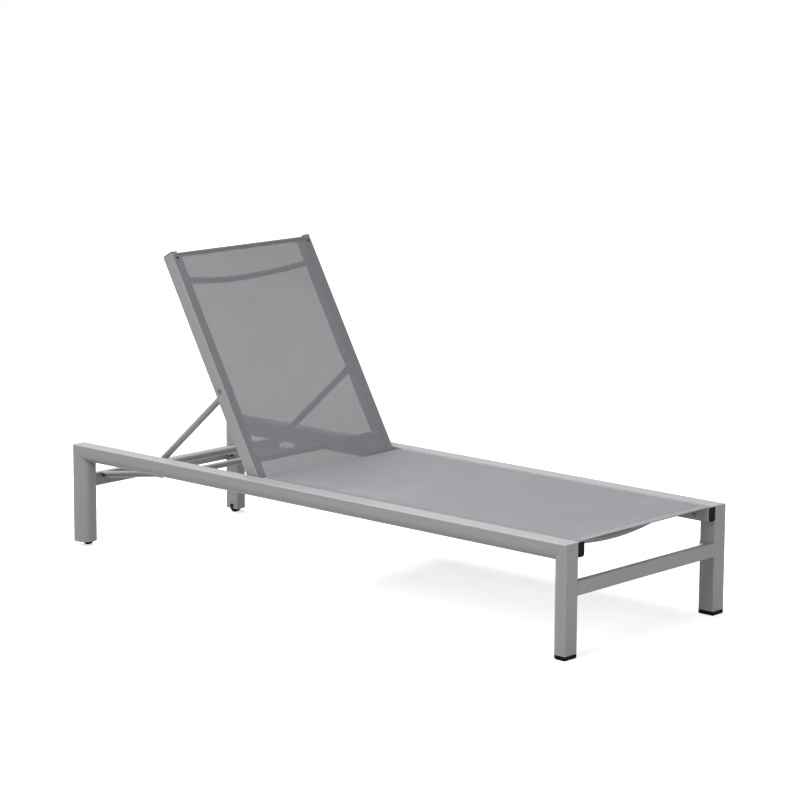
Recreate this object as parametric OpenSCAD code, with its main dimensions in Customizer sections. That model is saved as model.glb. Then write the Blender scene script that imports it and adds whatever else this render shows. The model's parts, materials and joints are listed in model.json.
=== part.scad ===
// Reclining sun lounger: square tube frame, sling on keder rails, backrest held by a support bail
// that rests on two toothed racks carried by a bent tube cradle, two wheels hidden in the head end's legs.
// +Z is up, +Y points to the head end, the origin is on the floor under the middle of the frame.

/* [Overall size] */
// Length of the frame from foot end to head end
frame_l = 1930; // [1900:5:1960]
// Width of the frame over its side rails
frame_w = 700; // [660:5:740]
// Height of the side rails' top faces above the floor
rail_top = 313; // [306:1:330]

/* [Frame tube] */
// Side of the square frame tube
tube_w = 50; // [49:0.5:52]
// Wall of the square frame tube
tube_wall = 2.5; // [2:0.25:3]
// Radius of the tube's outboard corner on a rail's top and on a leg's end face
outer_r = 3; // [2:0.5:5]
// Radius of its other outboard corner, on a rail's underside and on a leg's inner side
lower_r = 26; // [22:0.5:28]
// Radius of the frame tube's two inboard corners
inner_r = 1.5; // [1:0.25:2]

/* [Stretchers] */
// Thickness of a stretcher along the frame
stretcher_t = 20; // [18:0.5:21]
// Height of a stretcher
stretcher_h = 40; // [36:1:42]
// Height of the foot stretcher's middle above the floor
foot_stretcher_z = 188; // [184:1:192]
// Height of the head stretcher's middle above the floor
head_stretcher_z = 195; // [192:1:198]
// Wall of a stretcher
stretcher_wall = 2; // [1.5:0.25:3]
// Radius of a stretcher's corners
stretcher_r = 3; // [2.5:0.25:4]
// Thickness of the flange on each stretcher end
flange_t = 4; // [3:0.25:5]
// Step from the frame's end, and from the stretcher's top and bottom, to the flange's edge
flange_step = 2; // [1:0.25:3]
// Diameter of the flange screws and bolts
flange_screw_d = 6; // [5:0.25:6.5]
// Distance between a flange screw's middle and the flange's inner edge
flange_edge = 8; // [7:0.25:9]
// Distance of the foot end's flange screw from the frame's end
foot_screw_in = 41; // [38:0.5:41]
// Distance of the head end's flange bolt from the frame's end
head_bolt_in = 31; // [29:0.5:33]
// Height of the foot screw above its stretcher's middle
foot_screw_up = 9; // [6:0.5:10]
// Drop of the head bolt below its stretcher's middle
head_bolt_down = 7; // [3:0.5:9]

/* [Feet and wheels] */
// Visible height of the foot caps under the foot end's legs
foot_cap_h = 12; // [8:1:16]
// Thickness of the foot caps' bevelled sole
foot_base_h = 2; // [1.5:0.25:3]
// Height of the foot caps' plugs inside the legs
foot_plug_h = 24; // [18:1:30]
// Wall of those plugs
foot_plug_wall = 2.5; // [2:0.25:3]
// Gap between the floor and the head end's legs
leg_lift = 13; // [10:0.5:14]
// Diameter of a wheel
wheel_d = 42; // [40:0.5:43]
// Width of a wheel's tread
tread_w = 14; // [12:0.5:18]
// Radius that rounds the tread's edges
tread_r = 2.5; // [1.5:0.25:2.75]
// Diameter of a wheel's hub
hub_d = 18; // [16:0.5:20]
// Width of a wheel's hub
hub_w = 23; // [22:0.25:24]
// Thickness of the web between hub and rim
web_t = 6; // [5:0.5:8]
// Thickness of a wheel's rim
rim_t = 6; // [5.75:0.25:7]
// Diameter of the axle bolts
axle_d = 8; // [6:0.5:9]
// Length of the boss that takes the axle's tip inside a leg
axle_boss_t = 20; // [19:0.25:20.5]
// Diameter of that boss
axle_boss_d = 16; // [14:0.5:18]

/* [Sling] */
// Thickness of the woven sling where it wraps a rail
sling_t = 1.5; // [1:0.1:1.5]
// Sag of the seat sling at mid width
seat_sag = 6; // [2:0.5:8]
// Sag of the backrest sling at mid width
back_sag = 2; // [1:0.25:2.25]
// Distance of the seat sling's corners from the frame's foot end
sling_foot_in = 7; // [5:0.5:10]
// Further distance of that edge at mid width
sling_foot_bow = 13; // [8:0.5:18]
// Distance between the seat sling's head edge and its rails' ends
sling_head_in = 6; // [4:0.5:10]
// Diameter of the keder cord in the sling's edges
keder_d = 6; // [5:0.1:6.5]

/* [Sling rails] */
// Width of the seat rails and of the backrest rails
sling_rail_w = 25; // [24:0.25:27]
// Height of the seat rails
seat_rail_h = 40.5; // [38:0.5:44]
// Depth of the backrest rails
back_rail_h = 40; // [39.5:0.25:43]
// Wall of the sling rails
rail_wall = 2; // [1.5:0.1:2.2]
// Radius of the sling rails' corners
rail_r = 2.5; // [2.3:0.1:3]
// Diameter of the keder channel
channel_d = 7.2; // [7:0.1:7.6]
// Width of the slot that opens the keder channel
slot_w = 2.4; // [2:0.1:2.8]
// Distance of the keder channel from a seat rail's outboard face
seat_channel_in = 12.5; // [12:0.25:13]
// Distance of the keder channel from a backrest rail's outboard face
back_channel_in = 6.5; // [6:0.1:7]
// Depth of the keder channel below the rail's sling face
channel_down = 8; // [7:0.25:8.5]
// Thickness of the rail end caps
rail_cap_t = 3; // [2:0.25:4]
// Depth of the end caps' plugs
rail_plug_l = 6; // [4:0.5:6]
// Chamfer on the two lower corners of the end caps
rail_cap_bevel = 5; // [3:0.5:7]
// Diameter of the screws that fix a seat rail to its side rail
rail_screw_d = 6; // [5:0.5:6.5]
// Height of those screws above the seat rails' bottom
rail_screw_up = 13; // [11:0.5:15]
// Distance of the outermost of those screws from the rails' ends
rail_screw_in = 50; // [40:1:60]
// Number of screws along one seat rail
rail_screw_n = 4; // [3:1:5]

/* [Seat spreaders] */
// Diameter of the bowed spreader tubes
spreader_d = 18; // [16:0.5:20]
// Wall of the crossbars and spreaders
bar_wall = 2; // [1.5:0.25:2.5]
// Bow of the seat spreaders below their ends
seat_bow = 38; // [30:1:45]
// Distance between the foot spreader and the frame's foot end
foot_spreader_in = 125; // [115:1:135]
// Distance between the hinge line and the head spreader
head_spreader_in = 123; // [115:1:130]
// Depth of the spreaders' ends below the side rails' top
spreader_down = 14; // [13:0.25:16]
// Diameter of the spigots that enter the rails
spigot_d = 8; // [7:0.25:9]
// Length of those spigots
spigot_l = 6; // [4:0.5:6]
// Length of the plug in a tube's end
plug_l = 12; // [8:0.5:16]

/* [Backrest] */
// Distance of the hinge line from the frame's head end
hinge_in = 722; // [720:0.5:724]
// Angle of the backrest above level
back_angle = 60.2; // [59.4:0.1:61]
// Length of the backrest from the hinge line to the caps' tops
back_l = 725; // [715:1:735]
// Length of the backrest rails below the hinge line, caps included
back_tail = 22; // [20:0.5:23]
// Gap between the hinge line and the ends of the seat rails' caps
seat_rail_gap = 33; // [32:0.25:35]
// Gap between a side rail and its backrest rail
hinge_gap = 9; // [8:0.25:10]
// Diameter of the hinge bolts
hinge_d = 10; // [8:0.5:11]
// Height of the hinge bolts' heads
hinge_head_h = 5; // [4:0.25:5]
// Diameter of the hinge spacers
spacer_d = 24; // [20:1:28]
// Outer diameter of the sleeves that line the rails' pivots
sleeve_d = 15; // [14:0.25:15]
// Height of the lower crossbar above the hinge line, along the rails
low_bar_up = 66; // [50:1:80]
// Diameter of the lower crossbar
low_bar_d = 22; // [20:0.5:24]
// Distance between the upper spreader and the backrest's top
top_spreader_in = 86; // [78:1:95]
// Bow of the upper spreader behind the backrest
back_bow = 57; // [50:1:66]
// Distance between the top bar's middle and the backrest's top
top_bar_in = 9; // [9:0.25:12]
// Diameter of the top bar
top_bar_d = 14; // [12:0.25:14]
// Distance of the top bar and the upper spreader in front of the rails' middle
top_bars_front = 9; // [7:0.25:9]
// Distance of the backrest sling's lower edge above the hinge line
back_sling_low = 6.5; // [5:0.5:12]
// Distance of the sling's upper corners from the backrest's top
back_sling_top = 9; // [7:0.25:10]
// Hollow of the sling's upper edge at mid width
back_sling_bow = 5; // [2:0.5:8]
// Distance between the rivets that hold the sling's upper corners and the backrest's top
rivet_in = 21; // [18:0.5:26]
// Distance of those rivets from the rails' inboard faces
rivet_side = 9; // [7:0.25:9.5]
// Diameter of the rivets' heads
rivet_head_d = 7; // [6:0.25:8]
// Height of the rivets' heads
rivet_head_h = 1.6; // [1:0.1:2]
// Diameter of the rivets' shanks
rivet_d = 3.2; // [3:0.1:3.6]
// Length of the rivets behind the rails' walls
rivet_tail = 3; // [2:0.5:5]

/* [Support bail] */
// Distance of the bail's pivot from the hinge line
pivot_up = 286; // [283:1:288]
// Length of the bail from its pivot to its crossbar
bail_l = 402; // [401:0.25:404]
// Diameter of the bail's arms
bail_arm_d = 20; // [18:0.5:20]
// Length of the arms beyond their pivots
bail_arm_over = 13; // [11:0.5:14]
// Diameter of the bail's crossbar
bail_bar_d = 22; // [20:0.5:22]
// Length of the crossbar beyond the arms' middle
bail_bar_over = 12; // [10:0.5:12]
// Diameter of the bail's pivot bolts
pivot_d = 8; // [7:0.25:9]
// Height of the pivot bolts' nuts
pivot_nut_h = 6; // [5:0.25:7]
// Height of the plugs' heads in the bail's crossbar
bail_plug_head = 2; // [1.5:0.25:2.5]
// Thickness of the washers between bail and backrest
washer_t = 1; // [0.8:0.1:1.5]

/* [Rack cradle] */
// Diameter of the cradle's bent tube
cradle_d = 19; // [18:0.25:19.5]
// Rise of the cradle toward the foot end, in degrees
cradle_rise = 8.64; // [8.5:0.02:8.8]
// Length of the cradle along its slope
cradle_l = 333; // [325:1:340]
// Height of the cradle's rear ends above the stretchers' middle
cradle_up = 11; // [10:0.25:11]
// Offset of the cradle's arms inboard of the bail's arms
cradle_in = 14; // [13:0.25:15]
// Bend radius of the cradle's corners
cradle_bend_r = 30; // [26:1:36]
// Length of the spigots that hold the cradle's rear ends
cradle_spigot_l = 24; // [18:1:30]
// Diameter of the bolts through the cradle's rear ends
cradle_bolt_d = 5; // [4:0.25:6]
// Distance of those bolts from the head stretcher
cradle_bolt_in = 9; // [8:0.25:10]
// Thickness of the rack plates
rack_t = 5; // [4:0.25:6]
// Height of the notch bottoms above the cradle's arms
notch_up = 9.8; // [9:0.1:10]
// Height of the teeth above the notch bottoms
tooth_h = 5; // [4:0.25:6]
// Number of notches on a rack
notch_n = 4; // [3:1:5]
// Change of backrest angle from one notch to the next
notch_step = 7.4; // [7:0.1:7.6]
// Length of rack plate before the first notch and after the last
rack_over = 18; // [16:0.5:22]
// Distance of the cradle's hangers from its front crossbar
hanger_in = 24; // [20:0.5:28]
// Width of a hanger along the frame
hanger_w = 30; // [26:1:34]
// Thickness of a hanger
hanger_t = 4; // [3:0.25:4]
// Distance of the hangers' top edges below the side rails' top
hanger_down = 13; // [11:0.5:16]
// Diameter of the hanger bolts
hanger_bolt_d = 5; // [4:0.25:6]
// Distance of a hanger bolt from the hanger's edges
hanger_bolt_in = 8; // [7:0.25:9]

/* [Fasteners] */
// Length of a bolt's thread beyond the wall it enters
thread_l = 9; // [7:0.5:10]
// Height of the low bolt heads
low_head_h = 2.5; // [2:0.25:3]

/* [Fits] */
// Radial play of a bolt in its hole
bolt_play = 0.05; // [0.03:0.01:0.1]
// Play of the bail's bar in a notch
notch_play = 0.3; // [0.25:0.05:0.5]
// Play of a plug inside its tube
plug_play = 0.1; // [0.05:0.05:0.2]
// Side play between the backrest and its spacers, and at the bail's washers
side_play = 0.2; // [0.1:0.05:0.3]

/* [Hidden] */
// Finish of the curves
$fn = 40;
tube_fn = 24;
fine_fn = 64;
arc_fn = 300;
sag_steps = 12;
// One overrun serves every cut
over = 1;
// Button heads
head_share = 1.9;
head_h_share = 0.5;
socket_share = 0.62;
head_top_share = 0.6;
nut_share = 1.6;

half_w = frame_w / 2;
half_l = frame_l / 2;
tube_mid_x = half_w - tube_w / 2;
rail_in = half_w - tube_w;
rail_mid_z = rail_top - tube_w / 2;
leg_y = half_l - tube_w / 2;
mitre_angle = 45;

seat_rail_x = rail_in - sling_rail_w / 2;
seat_rail_in = rail_in - sling_rail_w;
seat_rail_top = rail_top - sling_t;
seat_rail_z = seat_rail_top - seat_rail_h / 2;

hinge_y = half_l - hinge_in;
hinge_z = rail_top - (back_rail_h + sling_t) / 2;
seat_rail_end = hinge_y - seat_rail_gap - rail_cap_t;
seat_rail_start = -half_l + rail_cap_t;
seat_rail_l = seat_rail_end - seat_rail_start;
seat_size = [sling_rail_w, seat_rail_h, seat_channel_in];
rail_screw_z = seat_rail_z - seat_rail_h / 2 + rail_screw_up;

back_out = rail_in - hinge_gap;
back_x = back_out - sling_rail_w / 2;
back_in = back_out - sling_rail_w;
back_w = -sling_t / 2;
back_face = back_w + back_rail_h / 2;
back_size = [sling_rail_w, back_rail_h, back_channel_in];
back_top = back_l - rail_cap_t;
back_bottom = -back_tail + rail_cap_t;

bail_x = back_in - washer_t - side_play - bail_arm_d / 2;
bail_half = bail_x + bail_bar_over;
cradle_x = bail_x - cradle_in;
cradle_y = half_l - stretcher_t;
cradle_z = head_stretcher_z + cradle_up;
cradle_spigot_d = cradle_d - 2 * bar_wall - 2 * plug_play;
hanger_y = cradle_y - cradle_l * cos(cradle_rise) + hanger_in;
hanger_top = rail_top - hanger_down;
hanger_arm_z = cradle_z + (cradle_y - hanger_y) * tan(cradle_rise);
hanger_bolt_z = hanger_top - hanger_bolt_in;
notch_r = bail_bar_d / 2 + notch_play;
notch_z = cradle_d / 2 + notch_up + notch_r;

// Points are [y, z]; the cradle's own frame starts at its rear end and slopes down toward the head end.
function pivot_at(angle) = [hinge_y + pivot_up * cos(angle), hinge_z + pivot_up * sin(angle)];
function in_cradle(p) =
    let (dy = p.x - cradle_y, dz = p.y - cradle_z)
    [dy * cos(cradle_rise) - dz * sin(cradle_rise), dy * sin(cradle_rise) + dz * cos(cradle_rise)];
function from_cradle(p) =
    [cradle_y + p.x * cos(cradle_rise) + p.y * sin(cradle_rise),
     cradle_z - p.x * sin(cradle_rise) + p.y * cos(cradle_rise)];
// Place of the bail's bar along the cradle when it lies in the notch for a backrest angle
function notch_at(angle) =
    let (p = in_cradle(pivot_at(angle)), rise = p.y - notch_z)
    p.x + sqrt(bail_l * bail_l - rise * rise);

pivot = pivot_at(back_angle);
bar = from_cradle([notch_at(back_angle), notch_z]);
bail_angle = atan2(bar.y - pivot.y, bar.x - pivot.x);

wheel_z = wheel_d / 2;
wheel_bore_d = axle_d + 2 * bolt_play;
boss_x = half_w - tube_wall - axle_boss_t;

metal = [0.66, 0.66, 0.67];
sling_grey = [0.58, 0.58, 0.6];
black = [0.12, 0.12, 0.13];
steel = [0.75, 0.75, 0.76];

module left() {
    mirror([1, 0, 0]) children();
}

module both() {
    children();
    left() children();
}

module on_back() {
    translate([0, hinge_y, hinge_z]) rotate([back_angle, 0, 0]) children();
}

module on_bail() {
    translate([0, pivot.x, pivot.y]) rotate([bail_angle, 0, 0]) children();
}

module on_cradle() {
    translate([0, cradle_y, cradle_z]) rotate([-cradle_rise, 0, 0]) children();
}

// Turns a drawing's x, y and height into the object's X, Z and distance toward the foot end
module lay_along() {
    rotate([90, 0, 0]) children();
}

// Turns a drawing's x, y and height into the object's Y, Z and X
module lay_across() {
    rotate([90, 0, 90]) children();
}

module outward() {
    rotate([0, 90, 0]) children();
}

module round_box(size, r) {
    square([size.x - 2 * r, size.y], center = true);
    square([size.x, size.y - 2 * r], center = true);
    for (x = [-1, 1], y = [-1, 1])
        translate([x * (size.x / 2 - r), y * (size.y / 2 - r)]) circle(r = r);
}

module ring(d, wall) {
    difference() {
        circle(d = d);
        circle(d = d - 2 * wall);
    }
}

// Button head bolt along +Z, its head below zero
module bolt(d, l, head_h = undef) {
    h = is_undef(head_h) ? d * head_h_share : head_h;
    head_d = d * head_share;
    cylinder(d = d, h = l);
    difference() {
        union() {
            translate([0, 0, -h / 2]) cylinder(d = head_d, h = h / 2);
            translate([0, 0, -h]) cylinder(d1 = head_d * head_top_share, d2 = head_d, h = h / 2);
        }
        translate([0, 0, -h - over]) cylinder(d = d * socket_share, h = over + h * socket_share, $fn = 6);
    }
}

// The frame tube's outline, its outboard side toward +x, a rail's top or a leg's end face toward +y
module frame_outline(inset) {
    w = tube_w - 2 * inset;
    low_r = lower_r - inset;
    difference() {
        union() {
            round_box([w, w], max(outer_r - inset, inner_r));
            translate([-w / 4, 0]) round_box([w / 2, w], inner_r);
        }
        difference() {
            translate([w / 2 - low_r, -w / 2 - over]) square(low_r + over);
            translate([w / 2 - low_r, -w / 2 + low_r]) circle(r = low_r);
        }
    }
}

module frame_section() {
    difference() {
        frame_outline(0);
        frame_outline(tube_wall);
    }
}

// Everything on one side of the mitre at the head end's upper corner: the rail's side or the leg's
module mitre_side(rail) {
    reach = 2 * tube_w;
    translate([0, half_l, rail_top]) rotate([mitre_angle, 0, 0])
        translate([0, -reach, rail ? 0 : -reach]) cube([half_w + over, 2 * reach, reach]);
}

module inboard_hole(y, z, d) {
    translate([rail_in - over, y, z]) outward() cylinder(d = d, h = tube_wall + 2 * over);
}

function hanger_bolt_y(s) = hanger_y + s * (hanger_w / 2 - hanger_bolt_in);
function rail_screw_y(i) =
    seat_rail_start + rail_screw_in + i * (seat_rail_l - 2 * rail_screw_in) / (rail_screw_n - 1);

module side_rail() {
    color(metal) difference() {
        translate([tube_mid_x, half_l, rail_mid_z]) lay_along() linear_extrude(frame_l) frame_section();
        mitre_side(false);
        mirror([0, 1, 0]) mitre_side(false);
        inboard_hole(hinge_y, hinge_z, hinge_d + 2 * bolt_play);
        for (i = [0 : rail_screw_n - 1])
            inboard_hole(rail_screw_y(i), rail_screw_z, rail_screw_d + 2 * bolt_play);
        for (s = [-1, 1])
            inboard_hole(hanger_bolt_y(s), hanger_bolt_z, hanger_bolt_d + 2 * bolt_play);
    }
}

module side_rail_right() {
    side_rail();
}

module side_rail_left() {
    left() side_rail();
}

module leg_tube(bottom) {
    translate([tube_mid_x, leg_y, bottom]) linear_extrude(rail_top - bottom) frame_section();
}

module front_leg() {
    color(metal) difference() {
        mirror([0, 1, 0]) difference() {
            leg_tube(foot_cap_h);
            mitre_side(true);
        }
        inboard_hole(-half_l + foot_screw_in, foot_stretcher_z + foot_screw_up,
            flange_screw_d + 2 * bolt_play);
    }
}

module rear_leg() {
    color(metal) difference() {
        union() {
            leg_tube(leg_lift);
            translate([boss_x, leg_y, wheel_z]) outward() cylinder(d = axle_boss_d, h = axle_boss_t);
        }
        mitre_side(true);
        inboard_hole(leg_y, wheel_z, axle_d + 2 * bolt_play);
        translate([boss_x - over, leg_y, wheel_z]) outward() cylinder(d = axle_d + 2 * bolt_play,
            h = axle_boss_t + over);
        inboard_hole(half_l - head_bolt_in, head_stretcher_z - head_bolt_down,
            flange_screw_d + 2 * bolt_play);
        translate([0, 0, -over]) cube([half_w + over, half_l + over, leg_lift + over]);
    }
}

module front_leg_right() {
    front_leg();
}

module front_leg_left() {
    left() front_leg();
}

module rear_leg_right() {
    rear_leg();
}

module rear_leg_left() {
    left() rear_leg();
}

// A stretcher at the head end, its middle at height z: a flat tube through two flanges that lie on the legs
module stretcher(z, bolt_in, bolt_up) {
    flange_in = bolt_in + flange_edge;
    flange_l = flange_in - flange_step;
    flange_h = stretcher_h - 2 * flange_step;
    difference() {
        union() {
            translate([-rail_in, half_l - stretcher_t / 2, z]) lay_across()
                linear_extrude(2 * rail_in) round_box([stretcher_t, stretcher_h], stretcher_r);
            both() translate([rail_in - flange_t, half_l - flange_in, z - flange_h / 2])
                cube([flange_t, flange_l, flange_h]);
        }
        translate([-rail_in - over, half_l - stretcher_t / 2, z]) lay_across()
            linear_extrude(2 * (rail_in + over))
            round_box([stretcher_t - 2 * stretcher_wall, stretcher_h - 2 * stretcher_wall],
                stretcher_r - stretcher_wall);
        both() translate([rail_in - flange_t - over, half_l - bolt_in, z + bolt_up]) outward()
            cylinder(d = flange_screw_d + 2 * bolt_play, h = flange_t + 2 * over);
    }
}

module foot_stretcher() {
    color(metal) mirror([0, 1, 0]) stretcher(foot_stretcher_z, foot_screw_in, foot_screw_up);
}

// The head stretcher also carries the two spigots that the cradle's rear ends slip over
module head_stretcher() {
    color(metal) {
        difference() {
            union() {
                stretcher(head_stretcher_z, head_bolt_in, -head_bolt_down);
                both() difference() {
                    on_cradle() translate([cradle_x, 0, 0]) lay_along()
                        translate([0, 0, -stretcher_wall]) cylinder(d = cradle_spigot_d,
                            h = cradle_spigot_l + stretcher_wall);
                    translate([0, cradle_y + stretcher_wall, 0])
                        cube([half_w, stretcher_t, rail_top]);
                }
            }
            both() cradle_bolt_hole();
        }
    }
}

module foot_screws() {
    color(steel) both()
        translate([rail_in - flange_t, -half_l + foot_screw_in, foot_stretcher_z + foot_screw_up]) outward()
        bolt(flange_screw_d, flange_t + tube_wall + thread_l);
}

module head_bolts() {
    color(black) both()
        translate([rail_in - flange_t, half_l - head_bolt_in, head_stretcher_z - head_bolt_down]) outward()
        bolt(flange_screw_d, flange_t + tube_wall + thread_l);
}

// Moulded insert: a sole as wide as the leg, and a hollow plug with a cross rib inside the tube
module foot_cap() {
    plug_in = tube_wall + plug_play;
    color(black) translate([tube_mid_x, -leg_y, 0]) mirror([0, 1, 0]) {
        linear_extrude(foot_base_h) frame_outline(foot_base_h / 2);
        translate([0, 0, foot_base_h]) linear_extrude(foot_cap_h - foot_base_h) frame_outline(0);
        translate([0, 0, foot_cap_h]) linear_extrude(foot_plug_h) difference() {
            frame_outline(plug_in);
            difference() {
                frame_outline(plug_in + foot_plug_wall);
                square([tube_w, foot_plug_wall], center = true);
                square([foot_plug_wall, tube_w], center = true);
            }
        }
    }
}

module foot_cap_right() {
    foot_cap();
}

module foot_cap_left() {
    left() foot_cap();
}

// The keder channel's own wall and the walls of its slot, grown by play
module channel_boss(size, play) {
    boss_w = slot_w + 2 * rail_wall + 2 * play;
    translate([size.x / 2 - size.z, size.y / 2 - channel_down]) {
        circle(d = channel_d + 2 * rail_wall + 2 * play);
        translate([-boss_w / 2, 0]) square([boss_w, channel_down]);
    }
}

module rail_chamber(size, play) {
    inner = [size.x - 2 * rail_wall - 2 * play, size.y - 2 * rail_wall - 2 * play];
    difference() {
        round_box(inner, rail_r - rail_wall);
        channel_boss(size, play);
    }
}

// Sling rail section, centred on its box, outboard side toward +x and sling face toward +y;
// size is the box's width and height and the channel's distance from the outboard face
module rail_section(size) {
    difference() {
        round_box(size, rail_r);
        rail_chamber(size, 0);
        translate([size.x / 2 - size.z, size.y / 2 - channel_down]) {
            circle(d = channel_d);
            translate([-slot_w / 2, 0]) square([slot_w, channel_down + over]);
        }
    }
}

// End cap: a bevelled plate on the rail's end at z = 0 and a plug inside its chamber below it
module rail_cap(size) {
    linear_extrude(rail_cap_t) difference() {
        round_box(size, rail_r);
        for (x = [-1, 1])
            translate([x * size.x / 2, -size.y / 2]) rotate(mitre_angle)
                square(rail_cap_bevel * sqrt(2), center = true);
    }
    translate([0, 0, -rail_plug_l]) linear_extrude(rail_plug_l) rail_chamber(size, plug_play);
}

module seat_rail() {
    spreaders = [-half_l + foot_spreader_in, hinge_y - head_spreader_in];
    color(metal) difference() {
        translate([seat_rail_x, seat_rail_end, seat_rail_z]) lay_along() linear_extrude(seat_rail_l)
            rail_section(seat_size);
        for (i = [0 : rail_screw_n - 1])
            translate([seat_rail_in - over, rail_screw_y(i), rail_screw_z]) outward()
                cylinder(d = rail_screw_d + 2 * bolt_play, h = sling_rail_w + 2 * over);
        for (y = spreaders)
            translate([seat_rail_in - over, y, rail_top - spreader_down]) outward()
                cylinder(d = spigot_d + 2 * bolt_play, h = rail_wall + 2 * over);
    }
}

module seat_rail_right() {
    seat_rail();
}

module seat_rail_left() {
    left() seat_rail();
}

module seat_rail_caps() {
    color(black) both() {
        translate([seat_rail_x, seat_rail_start, seat_rail_z]) lay_along() rail_cap(seat_size);
        translate([seat_rail_x, seat_rail_end, seat_rail_z]) mirror([0, 1, 0]) lay_along()
            rail_cap(seat_size);
    }
}

module seat_rail_screws() {
    color(steel) both() for (i = [0 : rail_screw_n - 1])
        translate([seat_rail_in, rail_screw_y(i), rail_screw_z]) outward()
            bolt(rail_screw_d, sling_rail_w + tube_wall + thread_l);
}

// The solid arc of a bowed bar in the XZ plane, its ends' middles on z = 0 and cut upright at |x| = half
module bowed_bar(half, bow, d) {
    arc_r = (half * half + bow * bow) / (2 * bow);
    turn = asin((half + d) / arc_r);
    intersection() {
        translate([0, 0, arc_r - bow]) rotate([90, 0, 0]) rotate([0, 0, -90 - turn])
            rotate_extrude(angle = 2 * turn, $fn = arc_fn)
            translate([arc_r, 0]) circle(d = d, $fn = tube_fn);
        cube([2 * half, 2 * d, 2 * (bow + 2 * d)], center = true);
    }
}

module bowed_tube(half, bow, d) {
    difference() {
        bowed_bar(half, bow, d);
        bowed_bar_inside(half, bow, d - 2 * bar_wall);
    }
}

// The bore runs out of the ends, so that they stay open
module bowed_bar_inside(half, bow, d) {
    arc_r = (half * half + bow * bow) / (2 * bow);
    turn = asin((half + 2 * d) / arc_r);
    translate([0, 0, arc_r - bow]) rotate([90, 0, 0]) rotate([0, 0, -90 - turn])
        rotate_extrude(angle = 2 * turn, $fn = arc_fn) translate([arc_r, 0]) circle(d = d, $fn = tube_fn);
}

// Turned plug for a bowed tube's end, with the spigot that enters the rail's wall
module bowed_plug(half, bow, d) {
    intersection() {
        bowed_bar(half, bow, d - 2 * bar_wall - 2 * plug_play);
        translate([half - plug_l, -d, -d]) cube([plug_l, 2 * d, 2 * d]);
    }
    translate([half - over, 0, 0]) outward() cylinder(d = spigot_d, h = spigot_l + over);
}

module straight_tube(half, d) {
    translate([-half, 0, 0]) outward() difference() {
        cylinder(d = d, h = 2 * half);
        translate([0, 0, -over]) cylinder(d = d - 2 * bar_wall, h = 2 * (half + over));
    }
}

module straight_plug(half, d) {
    translate([half - plug_l, 0, 0]) outward() cylinder(d = d - 2 * bar_wall - 2 * plug_play, h = plug_l);
    translate([half - over, 0, 0]) outward() cylinder(d = min(spigot_d, d - 2 * bar_wall - 2 * plug_play),
        h = spigot_l + over);
}

module at_foot_spreader() {
    translate([0, -half_l + foot_spreader_in, rail_top - spreader_down]) children();
}

module at_head_spreader() {
    translate([0, hinge_y - head_spreader_in, rail_top - spreader_down]) children();
}

module seat_spreader_foot() {
    color(metal) at_foot_spreader() bowed_tube(seat_rail_in, seat_bow, spreader_d);
}

module seat_spreader_head() {
    color(metal) at_head_spreader() bowed_tube(seat_rail_in, seat_bow, spreader_d);
}

module seat_spreader_plugs() {
    color(steel) both() {
        at_foot_spreader() bowed_plug(seat_rail_in, seat_bow, spreader_d);
        at_head_spreader() bowed_plug(seat_rail_in, seat_bow, spreader_d);
    }
}

// Sling section: a sagging web between the rails at |x| = inner, a flat wrap over each rail's face,
// the turn down into the slot at |x| = slot_x, and the keder cord; the rails' faces are at y = 0
module sling_section(inner, slot_x, sag) {
    low = [for (i = [0 : sag_steps])
        let (share = 2 * i / sag_steps - 1) [inner * share, -sag * (1 - share * share)]];
    high = [for (i = [sag_steps : -1 : 0]) low[i] + [0, sling_t]];
    polygon(concat(low, high));
    both() {
        translate([inner, 0]) square([slot_x - inner, sling_t]);
        translate([slot_x - sling_t / 2, -channel_down]) square([sling_t, channel_down + sling_t]);
        translate([slot_x, -channel_down]) circle(d = keder_d, $fn = tube_fn);
    }
}

// Cylinder that hollows a sling's end edge: the edge's corners at y = 0, its middle at y = bow
module edge_cut(half, bow) {
    edge_r = (half * half + bow * bow) / (2 * bow);
    translate([0, bow - edge_r, 0]) cylinder(r = edge_r, h = 2 * tube_w, center = true, $fn = arc_fn);
}

module seat_sling() {
    slot_x = rail_in - seat_channel_in;
    sling_start = -half_l + sling_foot_in;
    sling_end = seat_rail_end - sling_head_in;
    color(sling_grey) difference() {
        translate([0, sling_end, seat_rail_top]) lay_along() linear_extrude(sling_end - sling_start)
            sling_section(seat_rail_in, slot_x, seat_sag);
        translate([0, sling_start, seat_rail_top]) edge_cut(slot_x, sling_foot_bow);
    }
}

module cradle_bolt_hole() {
    on_cradle() translate([cradle_x - cradle_d, -cradle_bolt_in, 0]) outward()
        cylinder(d = cradle_bolt_d + 2 * bolt_play, h = 2 * cradle_d);
}

module rack_arm() {
    straight = cradle_l - cradle_bend_r;
    color(metal) difference() {
        on_cradle() translate([cradle_x, 0, 0]) lay_along() translate([0, 0, -cradle_d])
            linear_extrude(straight + cradle_d) ring(cradle_d, bar_wall);
        translate([0, cradle_y, 0]) cube([half_w, half_l, rail_top]);
        cradle_bolt_hole();
    }
}

module rack_arm_right() {
    rack_arm();
}

module rack_arm_left() {
    left() rack_arm();
}

// Front crossbar of the cradle with its two bends
module rack_crossbar() {
    half = cradle_x - cradle_bend_r;
    color(metal) on_cradle() translate([0, -cradle_l, 0]) {
        translate([-half, 0, 0]) outward() linear_extrude(2 * half) ring(cradle_d, bar_wall);
        both() translate([half, cradle_bend_r, 0]) rotate([0, 0, -90])
            rotate_extrude(angle = 90, $fn = fine_fn) translate([cradle_bend_r, 0]) ring(cradle_d, bar_wall);
    }
}

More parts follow.
